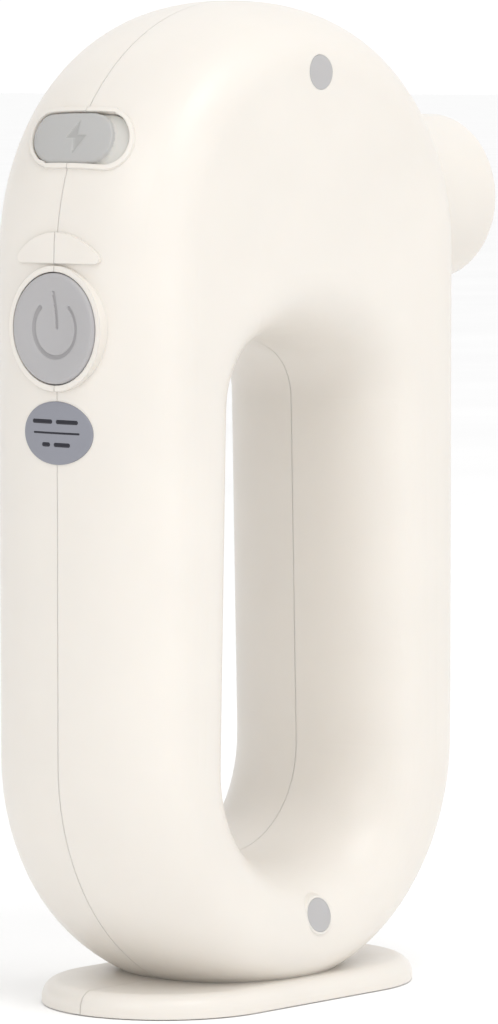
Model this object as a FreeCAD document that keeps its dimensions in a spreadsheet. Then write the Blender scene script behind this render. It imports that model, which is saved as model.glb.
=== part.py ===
import FreeCAD, Part
import math
import os

import Sketcher
from FreeCAD import Placement, Rotation, Vector

# Ring-shaped massage gun. Origin: middle of the foot's underside, on the surface it stands on.
# +Z up, +X towards the massage head, the power button on the -X rim, the parting plane at Y = 0.

SIZES = [
    # ring-shaped casing
    ("ring_half_width", 50.3, "outer half width of the ring along X"),
    ("ring_height", 200, "overall height"),
    ("half_depth", 24.5, "half of the ring's depth along Y"),
    ("rim_round", 14.0, "how far in the outer edge's rounding starts"),
    ("hole_round", 13.5, "how far out the finger hole's rounding ends"),
    ("edge_power", 2.31, "exponent of the edge's superellipse"),
    ("hole_half_top", 18.95, "finger hole's half width at its upper corners"),
    ("hole_corner", 11.5, "radius of its upper corners"),
    ("hole_corner_z", 119.4, "centres of those corners"),
    ("hole_arch_angle", 62, "where a corner meets the flatter arch between them, degrees"),
    ("hole_radius_low", 20.6, "finger hole, lower end"),
    ("hole_low_z", 48.5, "centre of the hole's lower arc"),
    ("wall", 2.2, "casing wall"),
    ("seam_gap", 0.12, "gap between the halves along the parting line"),
    ("seam_depth", 0.16, "depth of that gap below the surface"),
    ("foot_straight", 19.6, "half length of the foot's straight sides"),
    ("foot_radius", 24.5, "foot's end radius"),
    ("foot_height", 4.8, "foot's top above the table"),
    ("foot_round", 3.4, "rounding of the foot's upper edge"),
    ("foot_lift", 0.2, "how far the rubber pad stands below the foot"),
    ("pad_inset", 4, "pad's edge in from the foot's edge"),
    ("pad_depth", 1.2, "thickness of the foot pad"),
    # casing screws and their covers
    ("screw_top_z", 185.7, "upper casing screw"),
    ("screw_low_z", 17.6, "lower casing screw"),
    ("plug_radius", 3.4, "screw cover"),
    ("plug_depth", 3.2, "screw cover"),
    ("plug_face", 24.5, "upper cover's outer end from the parting plane"),
    ("plug_low_face", 24.15, "lower cover's outer end from the parting plane"),
    ("plug_low_tilt", 12, "how far the lower cover leans back at its top, degrees"),
    ("seat_radius", 3.9, "flat seat around the lower cover"),
    ("seat_spread", 1.2, "how much wider the seat's foot is"),
    ("seat_depth", 2.4, "depth of the seat's flank"),
    ("boss_radius", 4.9, "near screw boss"),
    ("post_radius", 4, "far screw post"),
    ("screw_seat", 9, "depth of the screw head's seat"),
    ("screw_radius", 1.3, "casing screw thread"),
    ("screw_head_radius", 2.5, "casing screw head"),
    ("screw_length", 14, "casing screw shank"),
    # power button and its collar
    ("button_z", 135.9, "button axis"),
    ("button_radius", 10.9, "button cap"),
    ("button_face", 51.6, "button's outer edge from the ring's axis"),
    ("button_back", 43.4, "button's inner end"),
    ("button_gap", 0.18, "around the button"),
    ("collar_radius", 12.3, "raised collar"),
    ("collar_face", 51.15, "collar's outer face"),
    ("collar_back", 45, "collar's inner end"),
    ("flange_radius", 12, "button's retaining flange"),
    # raised crescent above the button
    ("crescent_z", 148.6, "straight lower edge"),
    ("crescent_radius", 15.2, "upper arc"),
    ("crescent_rise", 6.1, "height of the crescent"),
    ("crescent_proud", 0.8, "how far it stands off the rim"),
    ("crescent_corner", 1.0, "rounding of its two lower corners"),
    # charging port
    ("port_angle", 27.7, "port's direction above the horizontal"),
    ("pocket_half_length", 13, "pocket along Y"),
    ("pocket_half_height", 5.7, "pocket across Y"),
    ("port_lean_near", 0.2, "lean of the pocket's -Y end towards +Y per millimetre up the rim"),
    ("port_lean_far", 0.45, "lean of the pocket's +Y end"),
    ("pocket_floor", 47.4, "pocket floor's distance from the arc's centre"),
    ("port_floor_back", 45, "back of the pocket's floor"),
    ("lip_width", 1.0, "lip around the pocket"),
    ("lip_proud", 0.45, "lip above the rim"),
    ("cover_gap", 0.12, "around the silicone cover"),
    ("cover_near_y", -9.4, "where the cover steps down to its finger ledge"),
    ("cover_ledge", 0.7, "how far the ledge lies below the rim"),
    ("cover_hinge_y", 11.7, "fold line of the cover"),
    ("cover_proud", 0.35, "cover above the rim"),
    ("usb_half_width", 4.5, "USB-C receptacle"),
    ("usb_half_height", 1.6, "USB-C receptacle"),
    ("usb_length", 7.4, "USB-C receptacle"),
    # label
    ("label_z", 115.5, "middle of the oval label"),
    ("label_half_y", 9.15, "label"),
    ("label_half_z", 6.2, "label"),
    ("label_film", 0.22, "label thickness"),
    # massage head, its bore and the plunger
    ("head_z", 159.85, "stroke axis"),
    ("head_radius", 17.2, "massage head"),
    ("head_face", 64.4, "head's outer face at mid stroke"),
    ("head_back", 37, "head's inner edge"),
    ("head_wall", 2.4, "head's side wall"),
    ("head_end", 4, "head's end wall"),
    ("head_edge", 1.6, "rounding of the head's outer edge"),
    ("nose_radius", 17.6, "bore around the head"),
    ("nose_wall", 2.2, "nose tube wall"),
    ("nose_back", 29.5, "inner end of the nose tube"),
    ("gasket_x", 38.4, "dust ring"),
    ("gasket_radius", 17.52, "dust ring's inner radius"),
    ("stem_radius", 5, "head's stem"),
    ("stem_back", 27, "stem's inner end"),
    ("stem_gap", 0.05, "stem in its socket"),
    ("plunger_radius", 6.6, "plunger"),
    ("plunger_back", 4, "plunger's inner end"),
    ("plunger_front", 44, "plunger's outer end"),
    ("bush_radius", 7.8, "sliding bush outside"),
    ("sleeve_radius", 9.4, "guide sleeve outside"),
    ("sleeve_back", 10, "guide sleeve"),
    ("sleeve_front", 32, "guide sleeve's flange face"),
    ("slide_gap", 0.05, "plunger in its bush"),
    # crank drive
    ("motor_x", -14, "motor axis"),
    ("motor_z", 169.6, "motor axis"),
    ("crank_throw", 4, "half of the stroke"),
    ("crank_near", 2.6, "crank disc's near face, Y"),
    ("crank_far", 5.6, "crank disc's far face, Y"),
    ("crank_radius", 8, "crank disc"),
    ("weight_radius", 11.6, "counterweight"),
    ("pin_radius", 1.5, "crank pin and motor shaft"),
    ("roller_radius", 5, "ball bearing on the crank pin"),
    ("roller_near", -3.2, "bearing's near face, Y"),
    ("roller_far", 0.8, "bearing's far face, Y"),
    ("yoke_near", -3.6, "yoke's near face, Y"),
    ("yoke_far", 1.6, "yoke's far face, Y"),
    ("slot_half", 6, "half width of the yoke's slot"),
    ("yoke_frame", 2.6, "yoke's rim around the slot"),
    ("yoke_arm_half", 4.4, "half height of the yoke's arm"),
    # motor
    ("bracket_near", 5.9, "bracket's near face, Y"),
    ("bracket_far", 8, "bracket's far face, Y"),
    ("bracket_radius", 13, "bracket's middle"),
    ("post_reach", 20.5, "bracket posts from the motor axis"),
    ("isolator_depth", 2, "rubber isolators"),
    ("isolator_radius", 4.2, "rubber isolators"),
    ("bell_radius", 15, "rotor bell"),
    ("bell_near", 10.2, "open end of the bell, Y"),
    ("bell_far", 21.2, "closed end of the bell, Y"),
    ("bell_wall", 1.1, "bell's wall"),
    ("magnet_depth", 1.1, "magnet ring"),
    ("stator_radius", 12.3, "stator's outer radius"),
    ("tube_radius", 5, "motor's bearing tube"),
    ("bearing_radius", 3, "motor bearings"),
    ("bearing_width", 2.5, "motor bearings"),
    ("teeth", 9, "stator teeth"),
    # battery
    ("cell_x", 34.9, "battery cells"),
    ("cell_y", 9.5, "battery cells, either side of the parting plane"),
    ("cell_radius", 9.2, "18650 cell"),
    ("cell_length", 65, "18650 cell"),
    ("cell_low_z", 62, "lower end of the cells"),
    # boards
    ("board_x", -37.5, "control board's outer face"),
    ("board_thick", 1.6, "circuit boards"),
    ("board_half_y", 11, "control board"),
    ("board_low_z", 92, "control board"),
    ("board_top_z", 152, "control board"),
    ("driver_y", -12, "motor driver board's outer face"),
    ("lead_radius", 0.6, "insulated leads"),
]

doc = FreeCAD.newDocument("massage_gun")
sheet = doc.addObject("Spreadsheet::Sheet", "Size")
for row, (alias, value, meaning) in enumerate(SIZES, start=1):
    sheet.set(f"A{row}", alias)
    sheet.set(f"B{row}", str(value))
    sheet.set(f"C{row}", meaning)
    sheet.setAlias(f"B{row}", alias)
doc.recompute()

nodes = {}


def size(alias):
    """The number a cell of the sheet holds."""
    return float(sheet.get(alias))


def cell(expression):
    """An expression on the sheet's cells: every alias in it is looked up in Size."""
    words = sorted((alias for alias, _, _ in SIZES), key=len, reverse=True)
    out = str(expression)
    for word in words:
        out = out.replace(word, f"<<{words.index(word)}>>")
    for index, word in enumerate(words):
        out = out.replace(f"<<{index}>>", f"Size.{word}")
    return out


def bind(obj, **expressions):
    for prop, expression in expressions.items():
        obj.setExpression(prop, cell(expression))


def place(obj, base, rotation=None):
    """Put an object at a point whose three coordinates are expressions on the sheet."""
    obj.Placement = Placement(Vector(0, 0, 0), rotation or Rotation())
    for axis, expression in zip("xyz", base):
        obj.setExpression(f"Placement.Base.{axis}", cell(expression))
    return obj


def keep(name, obj):
    """Make an object one of the finished pieces: its label names its file."""
    obj.Label = name
    nodes[name] = obj
    return obj


ALONG = {
    "x": Rotation(Vector(0, 0, 1), Vector(1, 0, 0)),
    "y": Rotation(Vector(0, 0, 1), Vector(0, 1, 0)),
    "z": Rotation(),
}


def cylinder(name, radius, length, base, along="y"):
    obj = doc.addObject("Part::Cylinder", name)
    bind(obj, Radius=radius, Height=length)
    return place(obj, base, ALONG[along])


def box(name, lengths, base, rotation=None):
    obj = doc.addObject("Part::Box", name)
    bind(obj, Length=lengths[0], Width=lengths[1], Height=lengths[2])
    return place(obj, base, rotation)


def cut(name, base, tool):
    obj = doc.addObject("Part::Cut", name)
    obj.Base = base
    obj.Tool = tool
    return obj


def fuse(name, shapes):
    obj = doc.addObject("Part::MultiFuse", name)
    obj.Shapes = shapes
    return obj


def common(name, shapes):
    obj = doc.addObject("Part::MultiCommon", name)
    obj.Shapes = shapes
    return obj


def ring(name, outer, inner, length, base, along="y"):
    """A tube: one cylinder cut out of another."""
    body = cylinder(f"{name}_outside", outer, length, base, along)
    bore = cylinder(f"{name}_bore", inner, length, base, along)
    return cut(name, body, bore)


def moved(name, obj, frame):
    """The same object, carried over into another frame."""
    carried = doc.addObject("Part::Compound", name)
    carried.Links = [obj]
    carried.Placement = frame
    return carried


def feature(name, shape):
    obj = doc.addObject("Part::Feature", name)
    obj.Shape = shape
    return obj


def outline_sketch(body, name, plane, points):
    """A closed polygon in one of a body's own planes. Each corner is a pair of expressions."""
    sketch = body.newObject("Sketcher::SketchObject", name)
    origin = next(o for o in body.Origin.OriginFeatures if o.Role == plane)
    sketch.AttachmentSupport = (origin, [""])
    sketch.MapMode = "FlatFace"
    probe = doc.getObject("Probe")
    corners = []
    for first, second in points:
        probe.setExpression("Placement.Base.x", cell(first))
        probe.setExpression("Placement.Base.y", cell(second))
        probe.recompute()
        corners.append(Vector(probe.Placement.Base.x, probe.Placement.Base.y, 0))
    count = len(corners)
    for i in range(count):
        sketch.addGeometry(Part.LineSegment(corners[i], corners[(i + 1) % count]), False)
    for i in range(count):
        sketch.addConstraint(Sketcher.Constraint("Coincident", i, 2, (i + 1) % count, 1))
    for i, (first, second) in enumerate(points):
        reaches = (("DistanceX", first, corners[i].x), ("DistanceY", second, corners[i].y))
        for kind, expression, value in reaches:
            index = sketch.addConstraint(Sketcher.Constraint(kind, -1, 1, i, 1, value))
            sketch.setExpression(f"Constraints[{index}]", cell(expression))
    return sketch


def turned(name, base, points, along="x"):
    """A body turned about X or Y through its own origin. Each point is (along, radius)."""
    body = doc.addObject("PartDesign::Body", name)
    pairs = points if along == "x" else [(radius, reach) for reach, radius in points]
    sketch = outline_sketch(body, f"{name}_profile", "XY_Plane", pairs)
    turn = body.newObject("PartDesign::Revolution", f"{name}_turn")
    turn.Profile = sketch
    turn.ReferenceAxis = (sketch, ["H_Axis" if along == "x" else "V_Axis"])
    turn.Angle = 360
    body.Tip = turn
    return place(body, base)


def plate(name, plane, points, thickness, base):
    """A body padded from a closed polygon."""
    body = doc.addObject("PartDesign::Body", name)
    sketch = outline_sketch(body, f"{name}_outline", plane, points)
    pad = body.newObject("PartDesign::Pad", f"{name}_pad")
    pad.Profile = sketch
    bind(pad, Length=thickness)
    body.Tip = pad
    return place(body, base)


# ---------------------------------------------------------------- casing


def edge_curve(flat, rim, depth):
    """The casing's rounded edge, a quarter superellipse from the flat face to the parting plane."""
    steps = 14
    power = 2 / size("edge_power")
    points = []
    for i in range(steps + 1):
        turn = math.pi / 2 * i / steps
        across = flat + (rim - flat) * math.sin(turn) ** power
        points.append(Vector(across, -depth * math.cos(turn) ** power, 0))
    points[0] = Vector(flat, -depth, 0)
    points[-1] = Vector(rim, 0, 0)
    curve = Part.BSplineCurve()
    curve.interpolate(Points=points)
    return curve.toShape()


def ring_arcs():
    """The ring's outer outline: arcs as centre x, centre z, radius, start and end angle."""
    radius = size("ring_half_width")
    return [
        (0, size("ring_height") - radius, radius, 0, math.pi),
        (0, radius, radius, math.pi, 2 * math.pi),
    ]


def hole_arcs():
    """The finger hole: a flat arch between two upper corners, leaning sides, and a round lower end."""
    corner = size("hole_corner")
    across = size("hole_half_top") - corner
    corner_z = size("hole_corner_z")
    low_z = size("hole_low_z")
    low_radius = size("hole_radius_low")
    tall = corner_z - low_z
    lean = math.asin((low_radius - corner) / math.hypot(across, tall)) - math.atan2(across, tall)
    rise = math.radians(size("hole_arch_angle"))
    arch = corner + across / math.cos(rise)
    return [
        (across, corner_z, corner, lean, rise),
        (0, corner_z - across * math.tan(rise), arch, rise, math.pi - rise),
        (-across, corner_z, corner, math.pi - rise, math.pi - lean),
        (0, low_z, low_radius, math.pi - lean, 2 * math.pi + lean),
    ]


def outline_wire(y, arcs, grow):
    """The arcs with larger radii, joined by straight lines, in the plane at y."""
    edges = []
    ends = []
    for x, z, radius, start, end in arcs:
        reach = radius + grow
        points = [
            Vector(x + reach * math.cos(a), y, z + reach * math.sin(a))
            for a in (start, (start + end) / 2, end)
        ]
        edges.append(Part.Arc(*points).toShape())
        ends.append((points[0], points[2]))
    for (_, last), (first, _) in zip(ends, ends[1:] + ends[:1]):
        if last.distanceToPoint(first) > 0.01:
            edges.append(Part.LineSegment(last, first).toShape())
    return Part.Wire(Part.__sortEdges__(edges))


def swept_edge(curve, arcs, grow):
    """The faces that the edge curve leaves as it runs once round an outline."""
    back = Vector(0, -1, 0)

    def stand(arc, angle):
        x, z, radius = arc[:3]
        carried = curve.copy()
        carried.translate(Vector(x + radius + grow, 0, z))
        carried.rotate(Vector(x, 0, z), back, math.degrees(angle))
        return carried

    faces = []
    for arc, following in zip(arcs, arcs[1:] + arcs[:1]):
        x, z, _, start, end = arc
        faces += stand(arc, start).revolve(Vector(x, 0, z), back, math.degrees(end - start)).Faces
        last = stand(arc, end)
        straight = stand(following, following[3]).BoundBox.Center - last.BoundBox.Center
        if straight.Length > 0.01:
            faces += last.extrude(straight).Faces
    return faces


def half_ring(inset, side):
    """Half of the ring, on one side of the parting plane, with every surface moved in by inset."""
    rim_round = size("rim_round")
    hole_round = size("hole_round")
    depth = size("half_depth") - inset
    outside = ring_arcs()
    hole = hole_arcs()
    faces = swept_edge(edge_curve(inset - rim_round, 0, depth), outside, -inset)
    faces += swept_edge(edge_curve(hole_round - inset, 0, depth), hole, inset)
    for y, shrink, widen in ((-depth, rim_round, hole_round), (0, inset, inset)):
        wires = [outline_wire(y, outside, -shrink), outline_wire(y, hole, widen)]
        faces.append(Part.makeFace(wires, "Part::FaceMakerBullseye"))
    shell = Part.makeShell(faces)
    shell.sewShape()
    solid = Part.makeSolid(shell.Shells[0])
    if solid.Volume < 0:
        solid.reverse()
    if side > 0:
        solid = solid.mirror(Vector(0, 0, 0), Vector(0, 1, 0))
    return solid


def whole_ring(name, inset):
    """Both halves as one solid, for cutting other pieces to the casing's surface."""
    return feature(name, half_ring(inset, -1).fuse(half_ring(inset, 1)).removeSplitter())


def half_space(name, side):
    """A block that holds everything on one side of the parting plane."""
    return box(name, ("400", "100", "400"), ("-200", "0" if side > 0 else "-100", "-100"))


def stadium_prism(name, half_length, half_height, near, far, frame):
    """A stadium along local Y, standing along local Z of a frame, from near to far."""
    straight = f"({half_length}) - ({half_height})"
    tall = f"({far}) - ({near})"
    pieces = [
        box(f"{name}_middle", (f"2 * ({half_height})", f"2 * ({straight})", tall), ("0", "0", "0")),
        cylinder(f"{name}_end_a", half_height, tall, ("0", "0", "0"), "z"),
        cylinder(f"{name}_end_b", half_height, tall, ("0", "0", "0"), "z"),
    ]
    starts = ((f"-({half_height})", f"-({straight})"), ("0", f"-({straight})"), ("0", straight))
    for piece, (x, y) in zip(pieces, starts):
        place(piece, (x, y, near))
    solid = fuse(name, pieces)
    solid.Placement = frame
    return solid


def port_prism(name, grow, near, far, ends=None):
    """The pocket's outline grown by a margin, a stadium with leaning ends, as a block from near to far."""
    radius = size("pocket_half_height") + grow
    reach = size("pocket_half_length") + grow
    low_y, high_y = ends or (-reach, reach)

    def around(middle, start, lean):
        points = []
        for i in range(13):
            turn = start + math.pi * i / 12
            up = radius * math.cos(turn)
            points.append(Vector(up, middle + radius * math.sin(turn) + size(lean) * up, near))
        return points

    far_end = around(high_y - radius, 0, "port_lean_far")
    near_end = around(low_y + radius, math.pi, "port_lean_near")
    edges = []
    for points, tangent in ((far_end, Vector(0, 1, 0)), (near_end, Vector(0, -1, 0))):
        curve = Part.BSplineCurve()
        curve.interpolate(Points=points, InitialTangent=tangent, FinalTangent=tangent * -1)
        edges.append(curve.toShape())
    edges.insert(1, Part.LineSegment(far_end[-1], near_end[0]).toShape())
    edges.append(Part.LineSegment(near_end[-1], far_end[0]).toShape())
    block = feature(name, Part.Face(Part.Wire(edges)).extrude(Vector(0, 0, far - near)))
    block.Placement = port_frame()
    return block


def port_frame():
    """Local Z points out of the charging port, local X up along the rim, local Y along Y."""
    centre = Vector(0, 0, size("ring_height") - size("ring_half_width"))
    return Placement(centre, Rotation(Vector(0, 1, 0), size("port_angle") - 90))


def rounded(block, radius, chosen):
    """The block with the chosen edges rounded."""
    fillet = doc.addObject("Part::Fillet", f"{block.Name}_rounded")
    fillet.Base = block
    fillet.Edges = [
        (i, size(radius), size(radius)) for i, edge in enumerate(block.Shape.Edges, start=1) if chosen(edge)
    ]
    return fillet


def foot_block(name, inset, low, high, round_edge=None):
    """The foot's outline, or a smaller one, as a block between two heights."""
    reach = f"(foot_radius - ({inset}))"
    tall = f"({high}) - ({low})"
    pieces = [
        box(
            f"{name}_middle", ("2 * foot_straight", f"2 * {reach}", tall),
            ("-foot_straight", f"-{reach}", low),
        ),
        cylinder(f"{name}_end_a", reach, tall, ("-foot_straight", "0", low), "z"),
        cylinder(f"{name}_end_b", reach, tall, ("foot_straight", "0", low), "z"),
    ]
    block = fuse(name, pieces)
    block.Refine = True
    if not round_edge:
        return block
    doc.recompute()
    top = max(vertex.Z for vertex in block.Shape.Vertexes)
    return rounded(block, round_edge, lambda edge: min(v.Z for v in edge.Vertexes) > top - 0.01)


def crescent_block(name):
    """The raised crescent's outline, pushed through the rim along X."""
    disc = cylinder(
        f"{name}_disc", "crescent_radius", "8",
        ("-ring_half_width - 3", "0", "crescent_z + crescent_rise - crescent_radius"), "x",
    )
    keep_above = box(
        f"{name}_top", ("8", "40", "crescent_rise"), ("-ring_half_width - 3", "-20", "crescent_z")
    )
    block = common(name, [disc, keep_above])
    doc.recompute()
    low = size("crescent_z")
    return rounded(
        block, "crescent_corner",
        lambda edge: max(v.Z for v in edge.Vertexes) < low + 0.01 and edge.BoundBox.XLength > 1,
    )


def screw_heights():
    return (("top", "screw_top_z"), ("low", "screw_low_z"))


def on_plug(name, block, place_name, z):
    """A block built along local Z, carried onto a screw cover's axis with Z = 0 at the cover's face."""
    face = size("plug_face" if place_name == "top" else "plug_low_face")
    tilt = math.radians(0 if place_name == "top" else size("plug_low_tilt"))
    out = Vector(0, -math.cos(tilt), math.sin(tilt))
    return moved(name, block, Placement(Vector(0, -face, size(z)), Rotation(Vector(0, 0, 1), out)))


def post_places():
    """Where the motor bracket's posts stand: clear of the motor, the yoke and the finger hole."""
    for number, angle in enumerate((20, 78, 205), start=1):
        x = f"motor_x + post_reach * cos({angle} deg)"
        z = f"motor_z + post_reach * sin({angle} deg)"
        yield number, angle, x, z


def shared_additions(tag):
    """What both casing halves carry: the foot, the collar, the crescent, the pocket and the nose tube."""
    return [
        foot_block(f"foot_{tag}", "0", "foot_lift", "foot_height", "foot_round"),
        cylinder(
            f"collar_{tag}", "collar_radius", "collar_face - collar_back",
            ("-collar_face", "0", "button_z"), "x",
        ),
        common(f"crescent_{tag}", [crescent_block(f"crescent_block_{tag}"), proud_crescent]),
        common(
            f"pocket_wall_{tag}",
            [
                port_prism(f"pocket_block_{tag}", size("lip_width"), size("port_floor_back"), 54),
                proud_lip,
            ],
        ),
        common(
            f"nose_{tag}",
            [
                cylinder(
                    f"nose_tube_{tag}", "nose_radius + nose_wall", "30", ("nose_back", "0", "head_z"), "x"
                ),
                flush_ring,
            ],
        ),
    ]


def shared_openings(tag):
    """What is cut out of both halves after they are joined up."""
    button_hole = cylinder(
        f"button_hole_{tag}", "button_radius + button_gap", "30", ("-60", "0", "button_z"), "x"
    )
    pocket = port_prism(f"pocket_{tag}", 0, size("pocket_floor"), 60)
    usb_slot = stadium_prism(
        f"usb_slot_{tag}", "usb_half_width + 0.3", "usb_half_height + 0.3",
        "port_floor_back - 8", "60", port_frame(),
    )
    nose_bore = cylinder(f"nose_bore_{tag}", "nose_radius", "60", ("nose_back - 1", "0", "head_z"), "x")
    gasket_groove = cylinder(
        f"gasket_groove_{tag}", "gasket_radius + 1.5", "1.6", ("gasket_x", "0", "head_z"), "x"
    )
    pad_recess = foot_block(f"pad_recess_{tag}", "pad_inset - 0.1", "-5", "pad_depth")
    below = box(f"below_{tag}", ("200", "100", "20"), ("-100", "-50", "foot_lift - 20"))
    seam_slab = box(f"seam_slab_{tag}", ("160", "seam_gap", "240"), ("-80", "-seam_gap / 2", "-20"))
    seam = cut(f"seam_{tag}", seam_slab, below_skin)
    return [button_hole, pocket, usb_slot, nose_bore, gasket_groove, pad_recess, below, seam]


def battery_ribs(tag, side):
    """Two cradle ribs that hold the cells in the front limb."""
    ribs = []
    for number, z in enumerate(("cell_low_z + 8", "cell_low_z + cell_length - 10")):
        block = box(f"rib_{tag}_{number}", ("40", "22", "2"), ("14", "0.5" if side > 0 else "-22.5", z))
        rib = common(f"rib_in_{tag}_{number}", [block, flush_ring])
        bore = cylinder(
            f"rib_bore_{tag}_{number}", "cell_radius + 0.25", "4",
            ("cell_x", "cell_y" if side > 0 else "-cell_y", f"{z} - 1"), "z",
        )
        ribs.append(cut(f"rib_cut_{tag}_{number}", rib, bore))
    return ribs


def near_half():
    """The casing half on the -Y side: it carries the screw heads and their covers."""
    bosses = [
        common(f"near_boss_in_{place_name}", [
            cylinder(f"near_boss_{place_name}", "boss_radius", "40", ("0", "-40", z)), flush_ring])
        for place_name, z in screw_heights()
    ]
    cone = doc.addObject("Part::Cone", "low_plug_cone")
    bind(cone, Radius1="seat_radius + seat_spread", Radius2="seat_radius", Height="seat_depth")
    seat = on_plug("low_plug_seat", place(cone, ("0", "0", "-seat_depth")), "low", "screw_low_z")
    cavity = feature("near_cavity", half_ring(size("wall"), -1))
    shell = cut("near_shell", feature("near_solid", half_ring(0, -1)), cavity)
    added = [*shared_additions("near"), *bosses, seat, *battery_ribs("near", -1)]
    solid = fuse("near_joined", [shell, *added])
    holes = shared_openings("near")
    for place_name, z in screw_heights():
        bore = cylinder(f"plug_bore_{place_name}", "plug_radius + 0.05", "20", ("0", "0", "-plug_depth"), "z")
        holes += [
            on_plug(f"plug_seat_{place_name}", bore, place_name, z),
            cylinder(
                f"head_channel_{place_name}", "screw_head_radius + 0.3", "plug_face - screw_seat",
                ("0", "-plug_face", z),
            ),
            cylinder(f"shank_hole_{place_name}", "screw_radius + 0.2", "20", ("0", "-15", z)),
        ]
    whole = cut("near_cut", solid, fuse("near_holes", holes))
    keep("housing_near", common("housing_near", [whole, half_space("near_side", -1)]))


def far_half():
    """The casing half on the +Y side: it carries the screw posts and the motor bracket's posts."""
    posts = [
        common(f"far_post_in_{place_name}", [
            cylinder(f"far_post_{place_name}", "post_radius", "40", ("0", "0", z)), flush_ring])
        for place_name, z in screw_heights()
    ]
    for number, _, x, z in post_places():
        stand = cylinder(f"motor_post_{number}", "3.2", "40", (x, "bracket_far + isolator_depth", z))
        posts.append(common(f"motor_post_in_{number}", [stand, flush_ring]))
    cavity = feature("far_cavity", half_ring(size("wall"), 1))
    shell = cut("far_shell", feature("far_solid", half_ring(0, 1)), cavity)
    solid = fuse("far_joined", [shell, *shared_additions("far"), *posts, *battery_ribs("far", 1)])
    holes = shared_openings("far")
    for place_name, z in screw_heights():
        holes.append(cylinder(f"pilot_{place_name}", "screw_radius", "screw_length", ("0", "-5", z)))
    for number, _, x, z in post_places():
        holes.append(cylinder(f"motor_pilot_{number}", "1.25", "10", (x, "bracket_near", z)))
    whole = cut("far_cut", solid, fuse("far_holes", holes))
    keep("housing_far", common("housing_far", [whole, half_space("far_side", 1)]))


def casing_fasteners():
    """Screws that hold the halves together, and the soft covers over their heads."""
    for place_name, z in screw_heights():
        disc = cylinder(f"screw_disc_{place_name}", "plug_radius", "plug_depth", ("0", "0", "-plug_depth"), "z")
        plug = on_plug(f"screw_plug_{place_name}", disc, place_name, z)
        if place_name == "top":
            plug = common("screw_plug_flush", [plug, flush_ring])
        keep(f"screw_cover_{place_name}", plug)
        keep(f"housing_screw_{place_name}", turned(
            f"housing_screw_{place_name}", ("0", "-screw_seat", z),
            [("-1.8", "0.9"), ("-1.8", "screw_head_radius - 0.4"), ("-1.4", "screw_head_radius"),
             ("0", "screw_head_radius"), ("0", "screw_radius"), ("screw_length", "screw_radius"),
             ("screw_length + 1", "0"), ("-0.7", "0"), ("-0.7", "0.9")],
            "y",
        ))


def foot_pad():
    keep("foot_pad", foot_block("foot_pad", "pad_inset", "0", "pad_depth"))


def label():
    """A thin oval label that follows the rim below the button."""
    disc = feature("label_outline", Part.Face(Part.Wire(
        Part.Ellipse(Vector(0, 0, 0), size("label_half_y"), size("label_half_z")).toShape()
    )).extrude(Vector(0, 0, 14)))
    turn = Rotation(Vector(0, 1, 0), Vector(0, 0, 1), Vector(1, 0, 0), "ZXY")
    disc.Placement = Placement(Vector(-size("ring_half_width") - 4, 0, size("label_z")), turn)
    film = common("label_film_block", [disc, whole_ring("label_surface", -size("label_film"))])
    keep("rim_label", cut("rim_label", film, flush_ring))


# ---------------------------------------------------------------- power button and charging port


def power_button():
    """Dished cap with a retaining flange behind the collar and a stem on the switch."""
    points = [
        ("-button_face + 0.55", "0"), ("-button_face + 0.45", "4"), ("-button_face + 0.2", "8"),
        ("-button_face", "button_radius - 0.8"), ("-button_face + 0.25", "button_radius - 0.2"),
        ("-button_face + 0.7", "button_radius"), ("-button_back - 1.2", "button_radius"),
        ("-button_back - 1.2", "flange_radius"), ("-button_back", "flange_radius"),
        ("-button_back", "button_radius - 2"), ("-button_face + 3", "button_radius - 2"),
        ("-button_face + 3", "1.5"), ("-42", "1.5"), ("-42", "0"),
    ]
    keep("power_button", turned("power_button", ("0", "0", "button_z"), points, "x"))
    keep("switch_plunger", cylinder("switch_plunger", "1.5", "1.6", ("-42", "0", "button_z"), "x"))


def charge_port():
    """Silicone cover folded along a line near its +Y end, its fixed end, and the socket behind it."""
    frame = port_frame()
    margin = -size("cover_gap")
    skin = whole_ring("cover_surface", -size("cover_proud"))
    full = port_prism("cover_block", margin, size("pocket_floor") + 0.15, 54)
    outside = common("cover_outside", [full, skin])
    free_end = port_prism("cover_free_end", margin, 40, 60, (size("cover_near_y"), size("cover_hinge_y") + 14))
    near_of_fold = box("near_of_fold", ("40", "60", "40"), ("-20", "cover_hinge_y - 60.1", "30"))
    beyond_fold = box("beyond_fold", ("40", "20", "40"), ("-20", "cover_hinge_y + 0.1", "30"))
    near_side = moved("cover_side", near_of_fold, frame)
    flap = common("cover_flap", [outside, free_end, near_side])
    ledge = common("cover_ledge", [full, whole_ring("ledge_surface", size("cover_ledge")), near_side])
    keep("port_cover", fuse("port_cover", [flap, ledge]))
    beyond = moved("anchor_side", beyond_fold, frame)
    keep("port_cover_anchor", common("port_cover_anchor", [outside, beyond]))

    mouth = "port_floor_back + 1.6"
    outer = stadium_prism(
        "usb_outer", "usb_half_width", "usb_half_height", f"{mouth} - usb_length", mouth, frame
    )
    inner = stadium_prism(
        "usb_inner", "usb_half_width - 0.3", "usb_half_height - 0.3", f"{mouth} - usb_length + 1", mouth, frame
    )
    tongue = box("usb_tongue", ("0.7", "6.6", "6.2"), ("-0.35", "-3.3", f"{mouth} - usb_length"))
    can = cut("usb_can", outer, inner)
    keep("usb_socket", fuse("usb_socket", [can, moved("usb_tongue_in", tongue, frame)]))
    board = box(
        "usb_board", ("1.2", "11", "8.6"), ("-usb_half_height - 1.2", "-5.5", f"{mouth} - usb_length - 3")
    )
    keep("usb_board", moved("usb_board_in", board, frame))


# ---------------------------------------------------------------- head and plunger


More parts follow.
